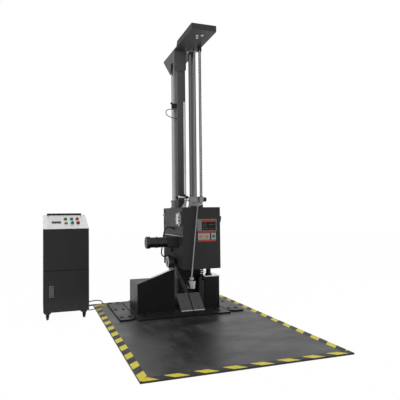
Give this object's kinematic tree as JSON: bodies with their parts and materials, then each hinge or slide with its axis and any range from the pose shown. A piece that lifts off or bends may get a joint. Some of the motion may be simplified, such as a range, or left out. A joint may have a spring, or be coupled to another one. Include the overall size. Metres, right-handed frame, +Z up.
{
  "type": "single wing drop tester",
  "caption": "Packaging drop tester: a chain-lifted carriage with one drop wing on guide posts over an impact plate, with a wheeled control console.",
  "frame": {"origin": "middle of the impact plate's underside, on the floor", "axes": "+X to the machine's right, +Y to the back, +Z up; the front, with the free part of the impact plate, faces -Y"},
  "size_m": [1.677, 2.2366, 2.305],
  "materials": {
    "plate_grey": "semi-gloss dark grey plate",
    "black_coat": "black coating",
    "charcoal_coat": "charcoal powder coat",
    "black_screw": "black oxide screws",
    "bright_steel": "brushed bright steel",
    "chain_steel": "oiled dark steel",
    "dark_metal": "dark cast housing",
    "caster_steel": "zinc plated steel",
    "console_steel": "brushed panel",
    "post_chrome": "polished hard chrome",
    "latch_chrome": "polished",
    "black_rubber": "matt rubber",
    "black_cord": "matt cable jacket",
    "grey_cord": "grey cable jacket",
    "dark_plastic": "matt moulded",
    "light_plastic": "light grey moulded",
    "display_gloss": "dark display window",
    "green_plastic": "moulded button",
    "red_plastic": "moulded button",
    "yellow_plastic": "moulded button",
    "teal_plastic": "moulded knob",
    "cabinet_coat": "dark grey powder coat",
    "pale_coat": "pale powder coat"
  },
  "bodies": {
    "machine": {"impact_plate": "plate_grey", "base_flanges": "black_coat", "base_bolts": "black_screw", "left_block": "black_coat", "right_block": "black_coat", "block_cap": "bright_steel", "bump_stop": "black_rubber", "rear_pedestal": "black_coat", "near_guide_post": "post_chrome", "far_guide_post": "post_chrome", "post_collars": "bright_steel", "mast": "charcoal_coat", "mast_head": "charcoal_coat", "top_plate": "charcoal_coat", "height_scale": "bright_steel", "lift_chain": "chain_steel", "chain_anchors": "chain_steel", "limit_switch": "dark_plastic", "switch_cable": "black_cord", "cabinet_shell": "cabinet_coat", "console_cheeks": "pale_coat", "console_panel": "console_steel", "console_display": "display_gloss", "console_bar": "dark_plastic", "motor_drive": "dark_plastic", "rear_caster_forks": "caster_steel", "signal_cable": "black_cord", "power_cable": "black_cord", "sensor_cable": "grey_cord"},
    "carriage": {"carriage_body": "charcoal_coat", "front_cover": "charcoal_coat", "control_panel": "light_plastic", "panel_display": "display_gloss", "guide_bushes": "post_chrome", "gearbox": "charcoal_coat", "motor": "dark_metal", "crossbar": "bright_steel", "side_cable": "black_cord"},
    "drive": {"drive_sprocket": "chain_steel"},
    "wing": {"wing_arm": "charcoal_coat", "wing_pads": "bright_steel", "spring_drum": "dark_metal"},
    "access_door": {"side_door": "charcoal_coat"},
    "latch_handle": {"door_latch": "latch_chrome"},
    "clamp_knob": {"crossbar_knob": "dark_plastic"},
    "gauge": {"gauge_rod": "bright_steel"},
    "front_door": {"cabinet_door": "cabinet_coat", "door_pull": "light_plastic"},
    "selector": {"mode_selector": "teal_plastic"},
    "start_button_cap": {"start_button": "green_plastic"},
    "reset_button_cap": {"reset_button": "green_plastic"},
    "stop_button_cap": {"stop_button": "red_plastic"},
    "drop_button_cap": {"drop_button": "yellow_plastic"},
    "emergency_stop_cap": {"emergency_stop": "red_plastic"},
    "front_left_swivel": {"front_left_fork": "caster_steel"},
    "front_right_swivel": {"front_right_fork": "caster_steel"},
    "front_left_roller": {"front_left_wheel": "black_rubber"},
    "front_right_roller": {"front_right_wheel": "black_rubber"},
    "rear_left_roller": {"rear_left_wheel": "black_rubber"},
    "rear_right_roller": {"rear_right_wheel": "black_rubber"}
  },
  "joints": [
    {"name": "carriage_lift", "type": "slide", "parent": "machine", "child": "carriage", "axis": [0, 0, 1], "range_m": [0, 0.775]},
    {"name": "drive_spin", "type": "hinge", "parent": "carriage", "child": "drive", "pos_m": [0.22, 0.39899, 0.59], "axis": [-1, 0, 0], "range_deg": [0, 935]},
    {"name": "arm_swing", "type": "hinge", "parent": "carriage", "child": "wing", "pos_m": [-0.036, 0.43, 0.425], "axis": [-1, 0, 0], "range_deg": [0, 40]},
    {"name": "side_door_swing", "type": "hinge", "parent": "carriage", "child": "access_door", "pos_m": [-0.0233, 0.748, 0.792], "axis": [0, 0, -1], "range_deg": [0, 105]},
    {"name": "latch_turn", "type": "hinge", "parent": "access_door", "child": "latch_handle", "pos_m": [-0.0423, 0.284, 0.778], "axis": [-1, 0, 0], "range_deg": [0, 90]},
    {"name": "knob_turn", "type": "hinge", "parent": "carriage", "child": "clamp_knob", "pos_m": [0.155, 0.19, 0.932], "axis": [1, 0, 0], "continuous": true},
    {"name": "gauge_swing", "type": "hinge", "parent": "carriage", "child": "gauge", "pos_m": [0.1, 0.187, 0.925], "axis": [0, 1, 0], "range_deg": [-10, 2]},
    {"name": "cabinet_door_swing", "type": "hinge", "parent": "machine", "child": "front_door", "pos_m": [-0.7135, 0.5, 0.23], "axis": [0, 0, 1], "range_deg": [0, 110]},
    {"name": "start_button_press", "type": "slide", "parent": "machine", "child": "start_button_cap", "axis": [0, -0.3048, 0.9524], "range_m": [-0.004, 0], "stiffness_N_per_m": 400, "springref_m": 0.002},
    {"name": "reset_button_press", "type": "slide", "parent": "machine", "child": "reset_button_cap", "axis": [0, -0.3048, 0.9524], "range_m": [-0.004, 0], "stiffness_N_per_m": 400, "springref_m": 0.002},
    {"name": "stop_button_press", "type": "slide", "parent": "machine", "child": "stop_button_cap", "axis": [0, -0.3048, 0.9524], "range_m": [-0.004, 0], "stiffness_N_per_m": 400, "springref_m": 0.002},
    {"name": "drop_button_press", "type": "slide", "parent": "machine", "child": "drop_button_cap", "axis": [0, -0.3048, 0.9524], "range_m": [-0.004, 0], "stiffness_N_per_m": 400, "springref_m": 0.002},
    {"name": "emergency_stop_press", "type": "slide", "parent": "machine", "child": "emergency_stop_cap", "axis": [0, -0.3048, 0.9524], "range_m": [-0.004, 0], "stiffness_N_per_m": 400, "springref_m": 0.002},
    {"name": "selector_turn", "type": "hinge", "parent": "machine", "child": "selector", "pos_m": [-0.828, 0.62382, 0.75482], "axis": [0, -0.3048, 0.9524], "range_deg": [-45, 45]},
    {"name": "front_left_swivel_turn", "type": "hinge", "parent": "machine", "child": "front_left_swivel", "pos_m": [-1.02, 0.55, 0.06], "axis": [0, 0, 1], "continuous": true},
    {"name": "front_left_wheel_roll", "type": "hinge", "parent": "front_left_swivel", "child": "front_left_roller", "pos_m": [-1.02, 0.575, 0.025], "axis": [1, 0, 0], "continuous": true},
    {"name": "front_right_swivel_turn", "type": "hinge", "parent": "machine", "child": "front_right_swivel", "pos_m": [-0.742, 0.55, 0.06], "axis": [0, 0, 1], "continuous": true},
    {"name": "front_right_wheel_roll", "type": "hinge", "parent": "front_right_swivel", "child": "front_right_roller", "pos_m": [-0.742, 0.575, 0.025], "axis": [1, 0, 0], "continuous": true},
    {"name": "rear_left_wheel_roll", "type": "hinge", "parent": "machine", "child": "rear_left_roller", "pos_m": [-1.02, 0.8, 0.025], "axis": [1, 0, 0], "continuous": true},
    {"name": "rear_right_wheel_roll", "type": "hinge", "parent": "machine", "child": "rear_right_roller", "pos_m": [-0.742, 0.8, 0.025], "axis": [1, 0, 0], "continuous": true}
  ],
  "couplings": [
    {"joint": "drive_spin", "follows": "carriage_lift", "rad_per_m": 20.831}
  ]
}
